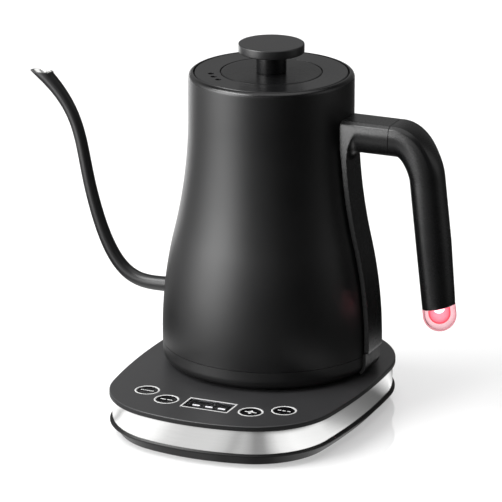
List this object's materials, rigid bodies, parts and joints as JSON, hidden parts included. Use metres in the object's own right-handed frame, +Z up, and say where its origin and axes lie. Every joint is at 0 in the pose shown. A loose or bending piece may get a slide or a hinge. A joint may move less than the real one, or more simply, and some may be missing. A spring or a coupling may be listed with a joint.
{
  "type": "electric gooseneck kettle",
  "caption": "Electric gooseneck kettle with a slim swept pouring spout, a stand-off handle, a lift-off knobbed lid and a swivelling power base with buttons and a display.",
  "frame": {"origin": "on the kettle's vertical axis, at the surface the base's feet stand on", "axes": "+Z up along the kettle's axis, +X towards the handle, -X towards the spout, -Y towards the front with the buttons and the display"},
  "size_m": [0.2729, 0.1937, 0.2191],
  "materials": {
    "body_black": "matte black powder coat",
    "spout_black": "matte black powder coat outside, polished steel inside",
    "vessel_steel": "satin stainless steel",
    "spreader_aluminium": "pressed aluminium",
    "element_sheath": "dull annealed sheath",
    "silicone_grey": "soft silicone",
    "thermostat_black": "moulded phenolic",
    "coupler_plastic": "fine moulded texture",
    "ring_plastic": "satin moulded",
    "screw_steel": "zinc plated",
    "handle_plastic": "soft satin",
    "lens_clear": "clear moulded dome",
    "guide_rose": "rose tinted light guide",
    "lamp_white": "white diffuser",
    "board_green": "solder mask",
    "lid_black": "semi-gloss black",
    "plug_plastic": "moulded",
    "knob_black": "satin black",
    "plate_black": "satin black",
    "band_steel": "brushed along its length",
    "housing_black": "moulded",
    "foot_rubber": "soft",
    "contact_brass": "turned",
    "collar_plastic": "moulded",
    "button_gloss": "gloss black",
    "trim_white": "white",
    "window_smoke": "smoke tinted window",
    "module_black": "black housing",
    "grommet_rubber": "black rubber"
  },
  "bodies": {
    "power_base": {"top_plate": "plate_black", "steel_band": "band_steel", "base_skirt": "housing_black", "base_housing": "housing_black", "base_feet": "foot_rubber", "base_screws": "screw_steel", "coupler_tower": "coupler_plastic", "contact_pin": "contact_brass", "contact_ring": "contact_brass", "button_trims": "trim_white", "display_window": "window_smoke", "display_frame": "trim_white", "display_dashes": "trim_white", "display_module": "module_black", "control_board": "board_green", "key_switches": "screw_steel", "cord_grommet": "grommet_rubber"},
    "collar": {"coupler_collar": "collar_plastic"},
    "kettle": {"body_shell": "body_black", "vessel_floor": "vessel_steel", "heat_plate": "spreader_aluminium", "heating_element": "element_sheath", "temperature_probe": "vessel_steel", "probe_seal": "silicone_grey", "dry_boil_thermostat": "thermostat_black", "coupler_socket": "coupler_plastic", "bottom_ring": "ring_plastic", "bottom_cover": "ring_plastic", "cover_screws": "screw_steel", "lid_seat": "vessel_steel", "spout_tube": "spout_black", "handle_strip": "handle_plastic", "handle_bracket": "vessel_steel", "handle_arm": "handle_plastic", "handle_screw": "screw_steel", "handle_grip": "handle_plastic", "indicator_lens": "lens_clear", "light_guide": "guide_rose", "indicator_lamp": "lamp_white", "lamp_board": "board_green"},
    "lid": {"lid_cap": "lid_black", "lid_disc": "lid_black", "lid_plug": "plug_plastic", "lid_seal": "silicone_grey", "knob_stem": "knob_black", "knob_cap": "knob_black", "knob_screw": "screw_steel"},
    "outer_left_button": {"button_left_outer": "button_gloss"},
    "inner_left_button": {"button_left_inner": "button_gloss"},
    "inner_right_button": {"button_right_inner": "button_gloss"},
    "outer_right_button": {"button_right_outer": "button_gloss"}
  },
  "joints": [
    {"name": "kettle_swivel", "type": "hinge", "parent": "power_base", "child": "collar", "pos_m": [0, 0, 0], "axis": [0, 0, 1], "continuous": true},
    {"name": "kettle_lift", "type": "slide", "parent": "collar", "child": "kettle", "axis": [0, 0, 1], "range_m": [0, 0.12]},
    {"name": "lid_lift", "type": "slide", "parent": "kettle", "child": "lid", "axis": [0, 0, 1], "range_m": [0, 0.06]},
    {"name": "press_outer_left", "type": "slide", "parent": "power_base", "child": "outer_left_button", "axis": [0, 0, -1], "range_m": [0, 0.0006], "stiffness_N_per_m": 400, "springref_m": -0.0005},
    {"name": "press_inner_left", "type": "slide", "parent": "power_base", "child": "inner_left_button", "axis": [0, 0, -1], "range_m": [0, 0.0006], "stiffness_N_per_m": 400, "springref_m": -0.0005},
    {"name": "press_inner_right", "type": "slide", "parent": "power_base", "child": "inner_right_button", "axis": [0, 0, -1], "range_m": [0, 0.0006], "stiffness_N_per_m": 400, "springref_m": -0.0005},
    {"name": "press_outer_right", "type": "slide", "parent": "power_base", "child": "outer_right_button", "axis": [0, 0, -1], "range_m": [0, 0.0006], "stiffness_N_per_m": 400, "springref_m": -0.0005}
  ]
}
